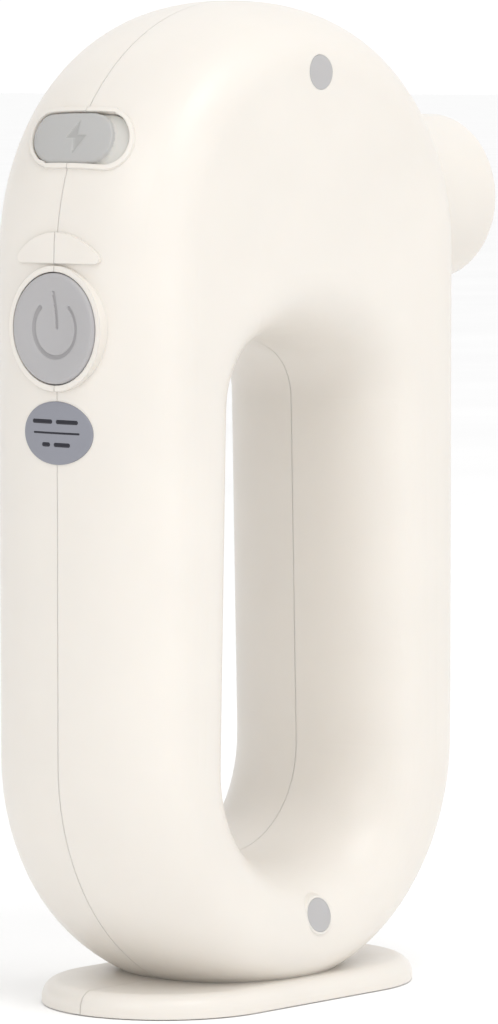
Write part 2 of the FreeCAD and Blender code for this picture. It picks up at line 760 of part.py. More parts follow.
def massage_head():
    """Flat-faced head: a cup with a rounded outer edge, on a stem that plugs into the plunger."""
    arc = []
    for i in range(7):
        turn = math.radians(15 * i)
        across = f"head_face - head_edge * {1 - math.sin(turn):.6f}"
        arc.append((across, f"head_radius - head_edge * {1 - math.cos(turn):.6f}"))
    points = [("head_back", "head_radius - head_wall"), ("head_back", "head_radius - 0.4"),
              ("head_back + 0.4", "head_radius"), *arc, ("head_face", "0"), ("head_face - head_end", "0"),
              ("head_face - head_end", "head_radius - head_wall")]
    keep("massage_head", turned("massage_head", ("0", "0", "head_z"), points, "x"))
    seat = "head_face - head_end"
    stem = [("stem_back", "0"), ("stem_back", "stem_radius - 0.6"), ("stem_back + 0.6", "stem_radius"),
            ("39", "stem_radius"), ("39", "stem_radius - 0.9"), ("41", "stem_radius - 0.9"),
            ("41", "stem_radius"),
            (f"{seat} - 2", "stem_radius"), (f"{seat} - 2", "9"), (seat, "9"), (seat, "0")]
    keep("head_stem", turned("head_stem", ("0", "0", "head_z"), stem, "x"))
    keep("head_ring", ring(
        "head_ring", "stem_radius", "stem_radius - 0.9", "1.6", ("39.2", "0", "head_z"), "x"
    ))


def plunger():
    """Hollow plunger on the stroke axis, and the slotted yoke that the crank pin drives."""
    points = [("plunger_back", "0"), ("plunger_back", "plunger_radius"),
              ("plunger_front - 0.5", "plunger_radius"),
              ("plunger_front", "plunger_radius - 0.5"), ("plunger_front", "stem_radius + stem_gap"),
              ("stem_back - 1", "stem_radius + stem_gap"), ("stem_back - 1", "0")]
    keep("plunger", turned("plunger", ("0", "0", "head_z"), points, "x"))
    reach = "(crank_throw + roller_radius + 0.4)"
    thick = "yoke_far - yoke_near"
    half_width = "slot_half + yoke_frame"
    pieces = []
    for tag, z in (("up", f"motor_z + {reach} - slot_half"), ("down", f"motor_z - {reach} + slot_half")):
        pieces.append(cylinder(f"yoke_end_{tag}", half_width, thick, ("motor_x", "yoke_near", z)))
    pieces.append(box("yoke_middle", (f"2 * ({half_width})", thick, f"2 * ({reach} - slot_half)"),
                      (f"motor_x - ({half_width})", "yoke_near", f"motor_z - {reach} + slot_half")))
    pieces.append(box("yoke_arm", ("plunger_back - motor_x", thick, "2 * yoke_arm_half"),
                      ("motor_x", "yoke_near", "head_z - yoke_arm_half")))
    slot = []
    for tag, z in (("up", f"motor_z + {reach} - slot_half"), ("down", f"motor_z - {reach} + slot_half")):
        slot.append(cylinder(f"slot_end_{tag}", "slot_half", "20", ("motor_x", "-10", z)))
    slot.append(box("slot_middle", ("2 * slot_half", "20", f"2 * ({reach} - slot_half)"),
                    ("motor_x - slot_half", "-10", f"motor_z - {reach} + slot_half")))
    keep("yoke", cut("yoke", fuse("yoke_outside", pieces), fuse("yoke_slot", slot)))


def guides():
    """Sleeve and bush that carry the plunger, and the dust ring around the head."""
    sleeve = [("sleeve_back", "bush_radius"), ("sleeve_back", "sleeve_radius"),
              ("sleeve_front - 2.5", "sleeve_radius"), ("sleeve_front - 2.5", "nose_radius - 0.1"),
              ("sleeve_front", "nose_radius - 0.1"), ("sleeve_front", "bush_radius")]
    keep("guide_sleeve", turned("guide_sleeve", ("0", "0", "head_z"), sleeve, "x"))
    keep("guide_bush", ring(
        "guide_bush", "bush_radius", "plunger_radius + slide_gap", "sleeve_front - sleeve_back",
        ("sleeve_back", "0", "head_z"), "x",
    ))
    keep("dust_ring", ring(
        "dust_ring", "gasket_radius + 1.5", "gasket_radius", "1.6", ("gasket_x", "0", "head_z"), "x"
    ))


# ---------------------------------------------------------------- crank and motor


def crank():
    """Disc with a counterweight, the pin that stands on it, and the bearing on the pin."""
    thick = "crank_far - crank_near"
    disc = cylinder("crank_round", "crank_radius", thick, ("motor_x", "crank_near", "motor_z"))
    heavy = cylinder("weight_round", "weight_radius", thick, ("motor_x", "crank_near", "motor_z"))
    lower = box("weight_half", ("40", "20", "20"), ("motor_x - 20", "-2", "motor_z - 23"))
    weight = common("crank_weight", [heavy, lower])
    bores = fuse("crank_bores", [
        cylinder("shaft_bore", "pin_radius", "20", ("motor_x", "-5", "motor_z")),
        cylinder("pin_bore", "pin_radius", "20", ("motor_x", "-5", "motor_z + crank_throw")),
    ])
    keep("crank_disc", cut("crank_disc", fuse("crank_joined", [disc, weight]), bores))
    keep("crank_pin", cylinder("crank_pin", "pin_radius", "crank_far - roller_near",
                               ("motor_x", "roller_near", "motor_z + crank_throw")))
    width = "roller_far - roller_near"
    where = ("motor_x", "roller_near", "motor_z + crank_throw")
    keep("roller_inner_race", ring("roller_inner_race", "pin_radius + 0.9", "pin_radius", width, where))
    keep("roller_outer_race", ring("roller_outer_race", "roller_radius", "roller_radius - 1", width, where))
    middle = f"({size('pin_radius') + 0.9 + size('roller_radius') - 1}) / 2"
    balls = []
    count = 7
    for i in range(count):
        turn = 2 * math.pi * i / count
        ball = doc.addObject("Part::Sphere", f"ball_{i}")
        bind(ball, Radius="(roller_radius - pin_radius - 1.9) / 2 - 0.01")
        place(ball, (f"motor_x + {middle} * {math.cos(turn):.6f}", "(roller_near + roller_far) / 2",
                     f"motor_z + crank_throw + {middle} * {math.sin(turn):.6f}"))
        balls.append(ball)
    keep("roller_balls", fuse("roller_balls", balls))


def motor():
    """Outer-rotor motor: bell, magnets and shaft turn; stator, coils, tube and bearings stay."""
    axis = ("motor_x", "0", "motor_z")
    bell = [("bell_near", "bell_radius - bell_wall"), ("bell_near", "bell_radius"),
            ("bell_far - 1", "bell_radius"), ("bell_far", "bell_radius - 1"), ("bell_far", "pin_radius"),
            ("bell_far - 4", "pin_radius"), ("bell_far - 4", "3.6"), ("bell_far - 1.2", "3.6"),
            ("bell_far - 1.2", "bell_radius - bell_wall")]
    keep("rotor_bell", turned("rotor_bell", axis, bell, "y"))
    magnet_out = "bell_radius - bell_wall"
    keep("rotor_magnets", ring("rotor_magnets", magnet_out, f"{magnet_out} - magnet_depth", "8",
                               ("motor_x", "bell_near + 0.6", "motor_z")))
    keep("motor_shaft", cylinder(
        "motor_shaft", "pin_radius", "bell_far - crank_near", ("motor_x", "crank_near", "motor_z")
    ))

    tube = [("bracket_far", "pin_radius + 0.6"), ("bracket_far", "11"), ("bracket_far + 1.6", "11"),
            ("bracket_far + 1.6", "tube_radius"), ("bell_far - 5", "tube_radius"),
            ("bell_far - 5", "bearing_radius"), ("bell_far - 5 - bearing_width", "bearing_radius"),
            ("bell_far - 5 - bearing_width", "pin_radius + 0.6"),
            ("bracket_far + 1 + bearing_width", "pin_radius + 0.6"),
            ("bracket_far + 1 + bearing_width", "bearing_radius"), ("bracket_far + 1", "bearing_radius"),
            ("bracket_far + 1", "pin_radius + 0.6")]
    keep("motor_tube", turned("motor_tube", axis, tube, "y"))
    for tag, y in (("front", "bracket_far + 1"), ("rear", "bell_far - 5 - bearing_width")):
        keep(f"motor_bearing_{tag}", ring(
            f"motor_bearing_{tag}", "bearing_radius", "pin_radius + 0.02", "bearing_width",
            ("motor_x", y, "motor_z"),
        ))
    start = "bell_near + 1.6"
    core = [ring("stator_hub", "tube_radius + 1.6", "tube_radius", "5", ("motor_x", start, "motor_z"))]
    coils = []
    count = int(size("teeth"))
    for i in range(count):
        turn = Rotation(Vector(0, 1, 0), 360 * i / count)
        axle = Placement(Vector(size("motor_x"), 0, size("motor_z")), turn)
        tooth = box(
            f"tooth_{i}", ("stator_radius - tube_radius - 1", "5", "2"), ("tube_radius + 1", start, "-1")
        )
        shoe = box(f"tooth_shoe_{i}", ("1.1", "5", "6.2"), ("stator_radius - 1.4", start, "-3.1"))
        coil = box(f"coil_block_{i}", ("3.6", "7.4", "4"), ("tube_radius + 1.9", "bell_near + 0.4", "-2"))
        gap = box(f"coil_gap_{i}", ("3.6", "5", "2"), ("tube_radius + 1.9", start, "-1"))
        core.append(moved(f"tooth_in_{i}", fuse(f"tooth_joined_{i}", [tooth, shoe]), axle))
        coils.append(moved(f"coil_in_{i}", cut(f"coil_{i}", coil, gap), axle))
    keep("stator_core", fuse("stator_core", core))
    keep("stator_coils", fuse("stator_coils", coils))


def motor_bracket():
    """Aluminium plate on three posts of the far half, on rubber isolators."""
    thick = "bracket_far - bracket_near"
    pieces = [cylinder("bracket_middle", "bracket_radius", thick, ("motor_x", "bracket_near", "motor_z"))]
    holes = [cylinder("bracket_bore", "4", "20", ("motor_x", "0", "motor_z"))]
    for number, angle, x, z in post_places():
        ear = cylinder(f"bracket_ear_{number}", "isolator_radius + 0.3", thick, (x, "bracket_near", z))
        arm = box(f"bracket_arm_{number}", ("post_reach", thick, "7"), ("0", "bracket_near", "-3.5"))
        axle = Placement(Vector(size("motor_x"), 0, size("motor_z")), Rotation(Vector(0, 1, 0), -angle))
        pieces += [ear, moved(f"bracket_arm_in_{number}", arm, axle)]
        holes.append(cylinder(f"bracket_hole_{number}", "1.25", "20", (x, "0", z)))
        keep(f"motor_isolator_{number}", ring(
            f"motor_isolator_{number}", "isolator_radius", "1.25", "isolator_depth", (x, "bracket_far", z)
        ))
        keep(f"motor_screw_{number}", turned(
            f"motor_screw_{number}", (x, "bracket_near", z),
            [("-1.5", "0"), ("-1.5", "1.8"), ("-1.1", "2.2"), ("0", "2.2"), ("0", "1.25"),
             ("9.5", "1.25"), ("9.5", "0")],
            "y",
        ))
    keep("motor_bracket", cut("motor_bracket", fuse("bracket_joined", pieces), fuse("bracket_holes", holes)))


# ---------------------------------------------------------------- battery, boards and leads


def battery():
    """Two 18650 cells side by side in the front limb, linked in series, under their protection board."""
    top_z = "cell_low_z + cell_length"
    for tag, y in (("near", "-cell_y"), ("far", "cell_y")):
        cell_points = [("0", "0"), ("0", "cell_radius - 0.6"), ("0.6", "cell_radius"),
                       ("cell_length - 0.6", "cell_radius"), ("cell_length", "cell_radius - 0.6"),
                       ("cell_length", "0")]
        body = turned(f"battery_cell_{tag}", ("0", "0", "0"), cell_points, "x")
        keep(f"battery_cell_{tag}", place(body, ("cell_x", y, "cell_low_z"), Rotation(Vector(0, 1, 0), -90)))
    keep("battery_link", box("battery_link", ("7", "2 * cell_y + 7", "0.3"),
                             ("cell_x - 3.5", "-cell_y - 3.5", "cell_low_z - 0.3")))
    tabs = [
        box(f"battery_tab_{tag}", ("7", "7", "0.3"), ("cell_x - 3.5", y, top_z))
        for tag, y in (("near", "-cell_y - 3.5"), ("far", "cell_y - 3.5"))
    ]
    keep("battery_tabs", fuse("battery_tabs", tabs))
    keep("protection_board", box(
        "protection_board", ("14", "26", "1.2"), ("cell_x - 7", "-13", f"{top_z} + 1.5")
    ))


def boards():
    """Control board behind the button with its switch, and the motor's driver board."""
    keep("control_board", box("control_board", ("board_thick", "2 * board_half_y", "board_top_z - board_low_z"),
                              ("board_x", "-board_half_y", "board_low_z")))
    switch_block = box("switch_block", ("3.5", "6", "6"), ("board_x - 3.5", "-3", "button_z - 3"))
    switch_bore = cylinder("switch_bore", "1.6", "1.5", ("board_x - 3.5", "0", "button_z"), "x")
    keep("switch_body", cut("switch_body", switch_block, switch_bore))
    inner_face = "board_x + board_thick"
    keep("control_parts", fuse("control_parts", [
        box("control_chip", ("1.2", "7", "7"), (inner_face, "-3.5", "112")),
        box("charge_inductor", ("3", "6", "6"), (inner_face, "-3", "126")),
    ]))
    keep("board_plug", box("board_plug", ("5", "8", "6"), (inner_face, "-9", "140")))

    driver = [("-34", "153"), ("5", "153"), ("5", "173"), ("0", "178"), ("-34", "178")]
    keep("driver_board", plate(
        "driver_board", "XZ_Plane", driver, "board_thick", ("0", "driver_y + board_thick", "0")
    ))
    fitted = [cylinder("driver_capacitor", "3.2", "7", ("-20", "driver_y - 7", "170"))]
    for number, x in enumerate(("-28", "-22", "-16"), start=1):
        fitted.append(box(f"driver_mosfet_{number}", ("4.6", "1.1", "5.6"), (x, "driver_y - 1.1", "156")))
    keep("driver_parts", fuse("driver_parts", fitted))


LEADS = {
    # insulated leads: the points of each route, in order
    "battery_lead_red": [
        (31, -5, 129.7), (31, -5, 135), (28.5, -9, 141), (25, -14, 148), (18, -15.5, 155), (9, -13.6, 160),
        (4.9, -12.9, 162),
    ],
    "battery_lead_black": [
        (37, 5, 129.7), (37, 4.6, 134), (36, -4, 137), (33, -13, 139), (26, -16.5, 143), (17, -16, 149.5),
        (4.9, -12.9, 156.5),
    ],
    "motor_lead_1": [
        (-25.2, 8.85, 167.6), (-29, 8.2, 167.6), (-31, 4.5, 167.8), (-30.6, -3, 167.4), (-30.6, -10.4, 167),
    ],
    "motor_lead_2": [
        (-25.2, 8.85, 169.8), (-29, 8.2, 169.8), (-31, 4.5, 170), (-30.6, -3, 169.6), (-30.6, -10.4, 169.2),
    ],
    "motor_lead_3": [
        (-25.2, 8.85, 172), (-29, 8.2, 172), (-31, 4.5, 172.2), (-30.6, -3, 171.8), (-30.6, -10.4, 171.4),
    ],
    "charge_lead_red": [(-33.3, 3, 162.6), (-34.4, 3, 158), (-34.9, 3, 148.5)],
    "charge_lead_black": [(-33.3, 0, 162.6), (-34.4, 0, 158), (-34.9, 0, 148.5)],
}


def lead(name, route):
    """A round lead: straight runs joined by tangent arcs as large as the shorter run allows."""
    points = [Vector(*p) for p in route]
    radius = size("lead_radius")
    edges = []
    start = points[0]
    for before, corner, after in zip(points, points[1:], points[2:]):
        into, out = corner - before, after - corner
        turn = into.getAngle(out)
        reach = 0.45 * min(into.Length, out.Length)
        bend = reach / math.tan(turn / 2)
        into.normalize()
        out.normalize()
        first, last = corner - into * reach, corner + out * reach
        inward = (out - into).normalize()
        middle = corner + inward * (bend / math.cos(turn / 2) - bend)
        edges += [Part.LineSegment(start, first).toShape(), Part.Arc(first, middle, last).toShape()]
        start = last
        print(f"{name}: bend radius {bend:.1f}")
    edges.append(Part.LineSegment(start, points[-1]).toShape())
    path = Part.Wire(edges)
    direction = (points[1] - points[0]).normalize()
    section = Part.Wire(Part.makeCircle(radius, points[0], direction))
    solid = path.makePipeShell([section], True, False)
    expected = math.pi * radius**2 * path.Length
    if abs(solid.Volume / expected - 1) > 0.01:
        raise RuntimeError(f"{name}: volume {solid.Volume:.2f} is not section times length {expected:.2f}")
    keep(name, feature(name, solid))


# ---------------------------------------------------------------- build and write

probe = doc.addObject("Part::Vertex", "Probe")

flush_ring = whole_ring("flush_ring", 0)
proud_crescent = whole_ring("proud_crescent", -size("crescent_proud"))
proud_lip = whole_ring("proud_lip", -size("lip_proud"))
below_skin = whole_ring("below_skin", size("seam_depth"))

near_half()
far_half()
casing_fasteners()
foot_pad()
label()
power_button()
charge_port()
massage_head()
plunger()
guides()
crank()
motor()
motor_bracket()
battery()
boards()
for lead_name, lead_route in LEADS.items():
    lead(lead_name, lead_route)

doc.recompute()
failed = [obj.Name for obj in doc.Objects if "Invalid" in obj.State or "Error" in obj.State]
if failed:
    raise RuntimeError(f"these did not recompute: {failed}")
os.makedirs("parts", exist_ok=True)
for node, obj in nodes.items():
    if obj.Shape.isNull() or not obj.Shape.isValid():
        raise RuntimeError(f"{node} has no valid shape")
    obj.Shape.exportStep(f"parts/{node}.step")
    print(f"{node}: {len(obj.Shape.Solids)} solid, {obj.Shape.Volume:.0f} mm3")
print(f"{len(nodes)} pieces")
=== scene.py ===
# Looks for the ring-shaped massage gun: camera, studio, materials, and the detailed outer pieces.
# Lengths are in metres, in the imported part's frame: +Z up, +X towards the massage head, with the
# button on the -X rim.
import math

import bmesh
import bpy
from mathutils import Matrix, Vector


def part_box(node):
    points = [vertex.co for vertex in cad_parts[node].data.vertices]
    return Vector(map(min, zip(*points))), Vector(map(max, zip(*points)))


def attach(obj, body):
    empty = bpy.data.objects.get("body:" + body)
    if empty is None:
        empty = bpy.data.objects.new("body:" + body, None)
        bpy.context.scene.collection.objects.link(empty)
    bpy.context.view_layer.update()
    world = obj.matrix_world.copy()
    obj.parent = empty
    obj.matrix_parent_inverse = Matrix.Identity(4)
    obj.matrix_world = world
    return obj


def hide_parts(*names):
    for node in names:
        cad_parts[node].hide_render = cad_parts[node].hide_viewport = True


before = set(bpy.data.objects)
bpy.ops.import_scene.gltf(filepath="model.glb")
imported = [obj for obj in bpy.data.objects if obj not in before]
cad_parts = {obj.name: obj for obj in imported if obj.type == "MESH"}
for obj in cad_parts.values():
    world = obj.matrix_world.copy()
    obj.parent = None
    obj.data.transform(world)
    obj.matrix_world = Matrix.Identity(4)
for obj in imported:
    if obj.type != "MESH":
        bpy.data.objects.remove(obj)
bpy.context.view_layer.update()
MM = 0.001

# ---------------------------------------------------------------- the casing's surface

_, ring_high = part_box("housing_far")
RIM = ring_high.x  # outer half width of the ring
HALF_DEPTH = ring_high.y
ARC_Z = ring_high.z - RIM  # centre of the upper arc
RIM_ROUND = 14.0 * MM
EDGE_POWER = 2 / 2.31
PORT_ANGLE = math.radians(27.7)
PORT_LEAN_NEAR, PORT_LEAN_FAR = 0.2, 0.45


def rim_radius(y):
    """The ring's outer radius at a depth: its edge is a superellipse."""
    across = min(1.0, abs(y) / HALF_DEPTH)
    cosine = across ** (1 / EDGE_POWER)
    return RIM - RIM_ROUND * (1 - math.sqrt(max(0.0, 1 - cosine * cosine)) ** EDGE_POWER)


def on_rim(y, z, proud):
    """A point on the straight rear rim, standing proud of it."""
    return Vector((-(rim_radius(y) + proud), y, z))


def port_point(up, y, reach):
    """A point in the charging port's frame: up the rim, along Y, and out from the arc's centre."""
    out = Vector((-math.cos(PORT_ANGLE), 0, math.sin(PORT_ANGLE)))
    along = Vector((math.sin(PORT_ANGLE), 0, math.cos(PORT_ANGLE)))
    return Vector((0, y, ARC_Z)) + out * reach + along * up


# ---------------------------------------------------------------- mesh helpers


def mesh_object(name, points, faces, materials, body, replaces=()):
    mesh = bpy.data.meshes.new(name)
    mesh.from_pydata([tuple(p) for p in points], [], faces)
    mesh.update()
    obj = bpy.data.objects.new(name, mesh)
    bpy.context.scene.collection.objects.link(obj)
    built = bmesh.new()
    built.from_mesh(mesh)
    bmesh.ops.remove_doubles(built, verts=built.verts, dist=1e-6)
    bmesh.ops.dissolve_degenerate(built, edges=built.edges, dist=1e-7)
    bmesh.ops.recalc_face_normals(built, faces=built.faces)
    built.to_mesh(mesh)
    built.free()
    for polygon in mesh.polygons:
        polygon.use_smooth = True
    for item in materials:
        mesh.materials.append(item)
    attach(obj, body)
    if replaces:
        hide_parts(*replaces)
    return obj


def loops_mesh(loops):
    """Points and faces of a skin over closed loops that all have the same number of points."""
    points = [p for loop in loops for p in loop]
    count = len(loops[0])
    faces = []
    for ring in range(len(loops) - 1):
        a, b = ring * count, (ring + 1) * count
        for i in range(count):
            j = (i + 1) % count
            faces.append((a + i, a + j, b + j, b + i))
    return points, faces


def rounded_line(corners, steps=6):
    """A polyline of (along, radius, rounding) with its corners rounded."""
    out = []
    last = len(corners) - 1
    for i, (x, r, bend) in enumerate(corners):
        here = Vector((x, r))
        if i in (0, last) or bend == 0:
            out.append(here)
            continue
        before = Vector(corners[i - 1][:2]) - here
        after = Vector(corners[i + 1][:2]) - here
        half = before.angle(after) / 2
        reach = min(bend / math.tan(half), before.length * 0.49, after.length * 0.49)
        start, end = here + before.normalized() * reach, here + after.normalized() * reach
        for k in range(steps + 1):
            t = k / steps
            out.append(start * (1 - t) ** 2 + here * 2 * t * (1 - t) + end * t**2)
    return out


def lathe(profile, centre, turns, height=None):
    """Loops about the X axis through centre. Profile points with a third value get height(y, z)."""
    loops = []
    for point in profile:
        x, r = point[0], max(point[1], 1e-9)
        shaped = height is not None and len(point) > 2
        loop = []
        for k in range(turns):
            angle = 2 * math.pi * k / turns
            y, z = r * math.cos(angle), r * math.sin(angle)
            lift = height(y, z) if shaped else 0.0
            loop.append(Vector((centre.x + x + lift, centre.y + y, centre.z + z)))
        loops.append(loop)
    return loops


def smooth(value, low, high):
    t = min(1.0, max(0.0, (value - low) / (high - low)))
    return t * t * (3 - 2 * t)


# ---------------------------------------------------------------- materials


class Nodes:
    """Short calls for building a material's nodes."""

    def __init__(self, name):
        self.material = bpy.data.materials.new(name)
        self.material.use_nodes = True
        self.tree = self.material.node_tree
        self.shader = self.tree.nodes["Principled BSDF"]
        self.place = self.tree.nodes.new("ShaderNodeTexCoord").outputs["Object"]

    def add(self, kind, **values):
        node = self.tree.nodes.new(kind)
        for key, value in values.items():
            if key in node.inputs.keys():
                node.inputs[key].default_value = value
            else:
                setattr(node, key, value)
        return node

    def link(self, source, target):
        self.tree.links.new(source, target)

    def noise(self, scale, detail=3.0, stretch=None):
        texture = self.add("ShaderNodeTexNoise", Scale=scale, Detail=detail)
        place = self.place
        if stretch:
            mapping = self.add("ShaderNodeMapping", Scale=stretch)
            self.link(place, mapping.inputs["Vector"])
            place = mapping.outputs["Vector"]
        self.link(place, texture.inputs["Vector"])
        return texture.outputs["Fac"]

    def between(self, factor, low, high):
        """Map a 0 to 1 factor onto a range."""
        node = self.add("ShaderNodeMapRange")
        node.inputs["From Min"].default_value = 0.3
        node.inputs["From Max"].default_value = 0.7
        node.inputs["To Min"].default_value = low
        node.inputs["To Max"].default_value = high
        self.link(factor, node.inputs["Value"])
        return node.outputs["Result"]

    def blend(self, factor, first, second):
        ramp = self.add("ShaderNodeValToRGB")
        ramp.color_ramp.elements[0].position = 0.3
        ramp.color_ramp.elements[0].color = (*first, 1)
        ramp.color_ramp.elements[1].position = 0.7
        ramp.color_ramp.elements[1].color = (*second, 1)
        self.link(factor, ramp.inputs["Fac"])
        return ramp.outputs["Color"]

    def bump(self, height, distance, strength=1.0, normal=None):
        node = self.add("ShaderNodeBump", Strength=strength, Distance=distance)
        self.link(height, node.inputs["Height"])
        if normal is not None:
            self.link(normal, node.inputs["Normal"])
        return node.outputs["Normal"]


def tint(colour, factor):
    return tuple(min(1.0, c * factor) for c in colour)


def moulded(name, colour, rough, grain=0.012, spread=0.02, soft=0.0, edge=0.0, specular=0.5):
    """Moulded plastic or rubber: a faint mottle, uneven gloss, and the fine grain of the tool."""
    n = Nodes(name)
    mottle = n.noise(38.0, 4.0)
    shades = n.blend(mottle, tint(colour, 1 - spread), tint(colour, 1 + spread))
    n.link(shades, n.shader.inputs["Base Color"])
    n.link(n.between(n.noise(210.0, 2.0), rough * 0.9, rough * 1.1), n.shader.inputs["Roughness"])
    normal = None
    if edge:
        rounding = n.add("ShaderNodeBevel", samples=6, Radius=edge)
        normal = rounding.outputs["Normal"]
    fine = n.bump(n.noise(3600.0, 2.0), grain * MM, 0.6, normal)
    n.link(n.bump(n.noise(95.0, 2.0), grain * 2 * MM, 0.35, fine), n.shader.inputs["Normal"])
    n.shader.inputs["Specular IOR Level"].default_value = specular
    if soft:
        n.shader.inputs["Subsurface Weight"].default_value = soft
        n.shader.inputs["Subsurface Radius"].default_value = (1.0, 0.75, 0.55)
        n.shader.inputs["Subsurface Scale"].default_value = 0.0015
    return n.material


def metal(name, colour, rough, brushed=(1.0, 1.0, 1.0)):
    """Bare metal with fine tool marks along one direction and uneven gloss."""
    n = Nodes(name)
    n.shader.inputs["Metallic"].default_value = 1.0
    patches = n.noise(160.0, 3.0)
    n.link(n.blend(patches, tint(colour, 0.93), tint(colour, 1.05)), n.shader.inputs["Base Color"])
    marks = n.noise(900.0, 4.0, brushed)
    n.link(n.between(marks, rough * 0.8, rough * 1.25), n.shader.inputs["Roughness"])
    n.link(n.bump(marks, 0.006 * MM, 0.5), n.shader.inputs["Normal"])
    return n.material


def board(name, colour):
    """Solder mask over copper traces, which show as slightly raised, lighter lines."""
    n = Nodes(name)
    traces = n.add("ShaderNodeTexVoronoi", Scale=420.0, feature="DISTANCE_TO_EDGE")
    n.link(n.place, traces.inputs["Vector"])
    lines = n.add("ShaderNodeMapRange")
    lines.inputs["From Max"].default_value = 0.12
    lines.inputs["To Min"].default_value = 1.0
    lines.inputs["To Max"].default_value = 0.0
    n.link(traces.outputs["Distance"], lines.inputs["Value"])
    n.link(n.blend(lines.outputs["Result"], colour, tint(colour, 1.7)), n.shader.inputs["Base Color"])
    n.link(n.between(n.noise(300.0), 0.25, 0.4), n.shader.inputs["Roughness"])
    n.link(n.bump(lines.outputs["Result"], 0.03 * MM, 0.6), n.shader.inputs["Normal"])
    return n.material


def layered(name, colour, rough, metallic, spacing, axis):
    """Stacked sheets or wound wire: fine even lines across one axis."""
    n = Nodes(name)
    n.shader.inputs["Metallic"].default_value = metallic
    wave = n.add("ShaderNodeTexWave", Scale=1 / spacing / (2 * math.pi), Distortion=0.4)
    wave.bands_direction = axis
    n.link(n.place, wave.inputs["Vector"])
    n.link(n.blend(wave.outputs["Fac"], tint(colour, 0.72), colour), n.shader.inputs["Base Color"])
    n.link(n.between(n.noise(500.0), rough * 0.85, rough * 1.2), n.shader.inputs["Roughness"])
    n.link(n.bump(wave.outputs["Fac"], 0.05 * MM, 0.7), n.shader.inputs["Normal"])
    return n.material


CREAM = (0.755, 0.715, 0.66)
MATERIALS = {
    "casing": moulded("abs_cream", CREAM, 0.36, soft=0.12, edge=0.35 * MM),
    "soft_grey": moulded("button_grey", (0.415, 0.405, 0.41), 0.5, grain=0.02, soft=0.1),
    "cover_grey": moulded("silicone_grey", (0.445, 0.44, 0.43), 0.5, grain=0.02, soft=0.25),
    "plug_grey": moulded("plug_grey", (0.445, 0.435, 0.435), 0.5, grain=0.02, soft=0.2),
    "label": moulded("label_film", (0.245, 0.25, 0.285), 0.32, grain=0.004, spread=0.03),
    "foot_rubber": moulded("foot_rubber", (0.30, 0.29, 0.28), 0.8, grain=0.05, spread=0.05),
    "seal_black": moulded("seal_black", (0.025, 0.025, 0.026), 0.55, grain=0.02, spread=0.08),
    "nylon_black": moulded("nylon_black", (0.035, 0.035, 0.037), 0.45, grain=0.03, spread=0.08),
    "acetal": moulded("acetal_natural", (0.72, 0.71, 0.68), 0.38, grain=0.01, soft=0.15),
    "steel": metal("turned_steel", (0.56, 0.56, 0.57), 0.28, (6.0, 1.0, 1.0)),
    "zinc_steel": metal("zinc_plated", (0.66, 0.67, 0.70), 0.32),
    "bearing_steel": metal("bearing_steel", (0.62, 0.62, 0.63), 0.16),
    "magnet": metal("nickel_magnet", (0.45, 0.45, 0.46), 0.35),
    "laminations": layered("stator_sheets", (0.30, 0.31, 0.33), 0.45, 0.9, 0.35 * MM, "Y"),
    "copper": layered("enamelled_copper", (0.62, 0.26, 0.11), 0.3, 0.9, 0.45 * MM, "Y"),
    "bracket_alloy": metal("cast_alloy", (0.60, 0.60, 0.61), 0.42),
    "cell_sleeve": moulded("cell_sleeve", (0.06, 0.16, 0.34), 0.28, grain=0.006, spread=0.05),
    "nickel": metal("nickel_strip", (0.62, 0.60, 0.56), 0.3, (1.0, 5.0, 1.0)),
    "board_green": board("solder_mask", (0.01, 0.10, 0.035)),
    "chip_black": moulded("epoxy_black", (0.02, 0.02, 0.02), 0.6, grain=0.02, spread=0.1),
    "lead_red": moulded("pvc_red", (0.45, 0.02, 0.02), 0.4, grain=0.01, spread=0.05),
    "lead_black": moulded("pvc_black", (0.02, 0.02, 0.02), 0.4, grain=0.01, spread=0.08),
    "lead_blue": moulded("pvc_blue", (0.02, 0.07, 0.36), 0.4, grain=0.01, spread=0.05),
}
# Darker copy of the button grey for the engraved sign's faces: painted shade in the engraving.
SIGN_GROOVE_PAINTED_SHADE = moulded("button_groove_painted_shade", (0.325, 0.315, 0.32), 0.6, grain=0.02)
# Darker copy of the silicone grey for the pressed-in bolt: painted shade in the recess.
BOLT_GROOVE_PAINTED_SHADE = moulded("cover_groove_painted_shade", (0.375, 0.37, 0.36), 0.6, grain=0.02)
# Paler copy of the silicone grey for the finger ledge: painted light on the ledge.
COVER_LEDGE_PAINTED_LIGHT = moulded("cover_ledge", (0.60, 0.585, 0.55), 0.5, grain=0.02, soft=0.3)
INK = moulded("label_ink", (0.012, 0.012, 0.02), 0.45, grain=0.003, spread=0.1)

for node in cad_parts.values():
    for slot in node.material_slots:
        slot.material = MATERIALS[slot.material.name.split(".")[0]]


# ---------------------------------------------------------------- power button


SIGN_RADIUS = 5.6  # all of the sign's sizes are in mm
SIGN_RING_HALF, SIGN_BAR_HALF = 0.38, 0.34
SIGN_BAR_LOW, SIGN_BAR_HIGH = 0.2, 7.0
SIGN_GAP = 43  # degrees from the top to each end of the ring


def power_symbol(y, z):
    """Distance in mm outside the engraved sign: an open ring with a bar through its gap."""
    y, z = y / MM, z / MM
    r, angle = math.hypot(y, z), math.degrees(math.atan2(abs(y), z))
    if angle >= SIGN_GAP:
        ring = abs(r - SIGN_RADIUS) - SIGN_RING_HALF
    else:
        gap = math.radians(SIGN_GAP)
        end = Vector((SIGN_RADIUS * math.sin(gap), SIGN_RADIUS * math.cos(gap)))
        ring = (Vector((abs(y), z)) - end).length - SIGN_RING_HALF
    bar = math.hypot(y, z - min(SIGN_BAR_HIGH, max(SIGN_BAR_LOW, z))) - SIGN_BAR_HALF
    return min(ring, bar)


